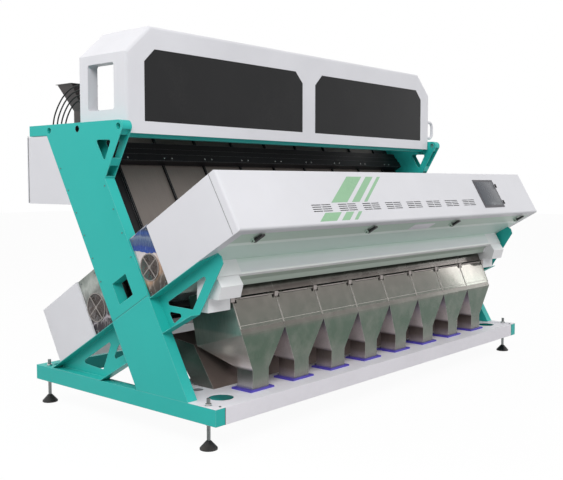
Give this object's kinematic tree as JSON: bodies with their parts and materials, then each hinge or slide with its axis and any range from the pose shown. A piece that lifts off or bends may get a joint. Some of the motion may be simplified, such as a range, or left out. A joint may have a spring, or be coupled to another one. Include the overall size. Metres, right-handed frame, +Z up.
{
  "type": "optical sorter",
  "caption": "Free-standing optical grain sorter: leaning green frame, white hood over sloping chutes, hinged optical box with a screen, steel hoppers with lids, levelling feet.",
  "frame": {"origin": "middle of the bounding box, on the floor under the foot pads", "axes": "+X along the machine to its right-hand end, +Y to the rear, +Z up"},
  "size_m": [3.424, 1.8324, 2.265],
  "materials": {
    "green_paint": "satin teal-green powder coat",
    "white_paint": "satin white powder coat",
    "dark_window": "dark tinted sheet",
    "chute_coat": "grey-brown coated chute plate",
    "black_paint": "matt black coat",
    "stainless": "brushed stainless sheet",
    "dark_grey_paint": "dark grey coat",
    "brown_paint": "brown-grey coat",
    "blue_plastic": "violet-blue plate",
    "clear_glass": "clear glass",
    "screen": "dark touch panel",
    "black_plastic": "matt black moulding",
    "black_rubber": "black rubber sheath",
    "aluminium": "milled aluminium",
    "bright_steel": "bright steel"
  },
  "bodies": {
    "machine_frame": {"base_frame": "green_paint", "front_deck": "white_paint", "foot_nuts": "bright_steel", "posts": "green_paint", "front_arms": "green_paint", "rear_struts": "green_paint", "top_beams": "green_paint", "top_hood": "white_paint", "hood_windows": "dark_window", "feeder_base": "green_paint", "feeder_drives": "dark_grey_paint", "feed_hopper": "dark_grey_paint", "chutes": "chute_coat", "chute_dividers": "black_paint", "chute_bars": "black_paint", "front_box_shell": "white_paint", "end_covers": "white_paint", "side_plates": "stainless", "fan_guards": "black_plastic", "rear_box_shell": "white_paint", "camera_modules": "aluminium", "lamp_bars": "aluminium", "viewing_glass": "clear_glass", "wiper_rods": "bright_steel", "air_ejector": "aluminium", "lower_front_cover": "white_paint", "hoppers": "stainless", "lid_hinge_rail": "bright_steel", "spout_flanges": "blue_plastic", "catch_trough": "brown_paint", "cabinet_shell": "white_paint", "feeder_cables": "black_rubber", "frame_screws": "bright_steel"},
    "front_door": {"front_door": "white_paint", "touch_screen": "screen"},
    "rear_lid": {"rear_lid": "white_paint"},
    "cabinet_flap_left": {"cabinet_flap_left": "white_paint"},
    "cabinet_flap_right": {"cabinet_flap_right": "white_paint"},
    "feeder_trays": {"feeder_trays": "stainless"},
    "wipers": {"wiper_carriages": "black_plastic"},
    "hopper_lid_1": {"hopper_lid_1": "stainless"},
    "hopper_lid_2": {"hopper_lid_2": "stainless"},
    "hopper_lid_3": {"hopper_lid_3": "stainless"},
    "hopper_lid_4": {"hopper_lid_4": "stainless"},
    "hopper_lid_5": {"hopper_lid_5": "stainless"},
    "hopper_lid_6": {"hopper_lid_6": "stainless"},
    "hopper_lid_7": {"hopper_lid_7": "stainless"},
    "hopper_lid_8": {"hopper_lid_8": "stainless"},
    "door_latch_1": {"door_latch_1": "black_plastic"},
    "door_latch_2": {"door_latch_2": "black_plastic"},
    "door_latch_3": {"door_latch_3": "black_plastic"},
    "door_latch_4": {"door_latch_4": "black_plastic"},
    "levelling_foot_front_left": {"levelling_foot_front_left": "black_plastic"},
    "fan_rotor_front_left": {"fan_rotor_front_left": "black_plastic"},
    "levelling_foot_front_right": {"levelling_foot_front_right": "black_plastic"},
    "fan_rotor_front_right": {"fan_rotor_front_right": "black_plastic"},
    "levelling_foot_rear_left": {"levelling_foot_rear_left": "black_plastic"},
    "fan_rotor_rear_left": {"fan_rotor_rear_left": "black_plastic"},
    "levelling_foot_rear_right": {"levelling_foot_rear_right": "black_plastic"},
    "fan_rotor_rear_right": {"fan_rotor_rear_right": "black_plastic"}
  },
  "joints": [
    {"name": "front_door_hinge", "type": "hinge", "parent": "machine_frame", "child": "front_door", "pos_m": [0, -0.70229, 1.41942], "axis": [-1, 0, 0], "range_deg": [0, 80]},
    {"name": "rear_lid_hinge", "type": "hinge", "parent": "machine_frame", "child": "rear_lid", "pos_m": [0, 0.25784, 0.88241], "axis": [1, 0, 0], "range_deg": [0, 60]},
    {"name": "cabinet_flap_left_hinge", "type": "hinge", "parent": "machine_frame", "child": "cabinet_flap_left", "pos_m": [-0.85, 0.89722, 1.656], "axis": [1, 0, 0], "range_deg": [0, 85]},
    {"name": "cabinet_flap_right_hinge", "type": "hinge", "parent": "machine_frame", "child": "cabinet_flap_right", "pos_m": [0.85, 0.89722, 1.656], "axis": [1, 0, 0], "range_deg": [0, 85]},
    {"name": "hopper_lid_1_hinge", "type": "hinge", "parent": "machine_frame", "child": "hopper_lid_1", "pos_m": [-1.239, -0.58378, 0.742], "axis": [-1, 0, 0], "range_deg": [0, 90]},
    {"name": "hopper_lid_2_hinge", "type": "hinge", "parent": "machine_frame", "child": "hopper_lid_2", "pos_m": [-0.885, -0.58378, 0.742], "axis": [-1, 0, 0], "range_deg": [0, 90]},
    {"name": "hopper_lid_3_hinge", "type": "hinge", "parent": "machine_frame", "child": "hopper_lid_3", "pos_m": [-0.531, -0.58378, 0.742], "axis": [-1, 0, 0], "range_deg": [0, 90]},
    {"name": "hopper_lid_4_hinge", "type": "hinge", "parent": "machine_frame", "child": "hopper_lid_4", "pos_m": [-0.177, -0.58378, 0.742], "axis": [-1, 0, 0], "range_deg": [0, 90]},
    {"name": "hopper_lid_5_hinge", "type": "hinge", "parent": "machine_frame", "child": "hopper_lid_5", "pos_m": [0.177, -0.58378, 0.742], "axis": [-1, 0, 0], "range_deg": [0, 90]},
    {"name": "hopper_lid_6_hinge", "type": "hinge", "parent": "machine_frame", "child": "hopper_lid_6", "pos_m": [0.531, -0.58378, 0.742], "axis": [-1, 0, 0], "range_deg": [0, 90]},
    {"name": "hopper_lid_7_hinge", "type": "hinge", "parent": "machine_frame", "child": "hopper_lid_7", "pos_m": [0.885, -0.58378, 0.742], "axis": [-1, 0, 0], "range_deg": [0, 90]},
    {"name": "hopper_lid_8_hinge", "type": "hinge", "parent": "machine_frame", "child": "hopper_lid_8", "pos_m": [1.239, -0.58378, 0.742], "axis": [-1, 0, 0], "range_deg": [0, 90]},
    {"name": "door_latch_1_pivot", "type": "hinge", "parent": "machine_frame", "child": "door_latch_1", "pos_m": [-1.5, -0.83344, 1.07425], "axis": [1, 0, 0], "range_deg": [0, 80]},
    {"name": "door_latch_2_pivot", "type": "hinge", "parent": "machine_frame", "child": "door_latch_2", "pos_m": [-0.5, -0.83344, 1.07425], "axis": [1, 0, 0], "range_deg": [0, 80]},
    {"name": "door_latch_3_pivot", "type": "hinge", "parent": "machine_frame", "child": "door_latch_3", "pos_m": [0.5, -0.83344, 1.07425], "axis": [1, 0, 0], "range_deg": [0, 80]},
    {"name": "door_latch_4_pivot", "type": "hinge", "parent": "machine_frame", "child": "door_latch_4", "pos_m": [1.5, -0.83344, 1.07425], "axis": [1, 0, 0], "range_deg": [0, 80]},
    {"name": "levelling_foot_front_left_turn", "type": "hinge", "parent": "machine_frame", "child": "levelling_foot_front_left", "pos_m": [-1.665, -0.66078, 0], "axis": [0, 0, 1], "continuous": true},
    {"name": "levelling_foot_front_right_turn", "type": "hinge", "parent": "machine_frame", "child": "levelling_foot_front_right", "pos_m": [1.665, -0.66078, 0], "axis": [0, 0, 1], "continuous": true},
    {"name": "levelling_foot_rear_left_turn", "type": "hinge", "parent": "machine_frame", "child": "levelling_foot_rear_left", "pos_m": [-1.665, 0.76722, 0], "axis": [0, 0, 1], "continuous": true},
    {"name": "levelling_foot_rear_right_turn", "type": "hinge", "parent": "machine_frame", "child": "levelling_foot_rear_right", "pos_m": [1.665, 0.76722, 0], "axis": [0, 0, 1], "continuous": true},
    {"name": "fan_rotor_front_left_spin", "type": "hinge", "parent": "machine_frame", "child": "fan_rotor_front_left", "pos_m": [-1.672, -0.23643, 0.91432], "axis": [1, 0, 0], "continuous": true},
    {"name": "fan_rotor_front_right_spin", "type": "hinge", "parent": "machine_frame", "child": "fan_rotor_front_right", "pos_m": [1.672, -0.23643, 0.91432], "axis": [1, 0, 0], "continuous": true},
    {"name": "fan_rotor_rear_left_spin", "type": "hinge", "parent": "machine_frame", "child": "fan_rotor_rear_left", "pos_m": [-1.672, 0.24265, 0.64811], "axis": [1, 0, 0], "continuous": true},
    {"name": "fan_rotor_rear_right_spin", "type": "hinge", "parent": "machine_frame", "child": "fan_rotor_rear_right", "pos_m": [1.672, 0.24265, 0.64811], "axis": [1, 0, 0], "continuous": true},
    {"name": "feeder_tray_shake", "type": "slide", "parent": "machine_frame", "child": "feeder_trays", "axis": [0, 1, 0], "range_m": [-0.0015, 0.0015], "stiffness_N_per_m": 80000},
    {"name": "wiper_travel", "type": "slide", "parent": "machine_frame", "child": "wipers", "axis": [1, 0, 0], "range_m": [0, 3.02]}
  ]
}
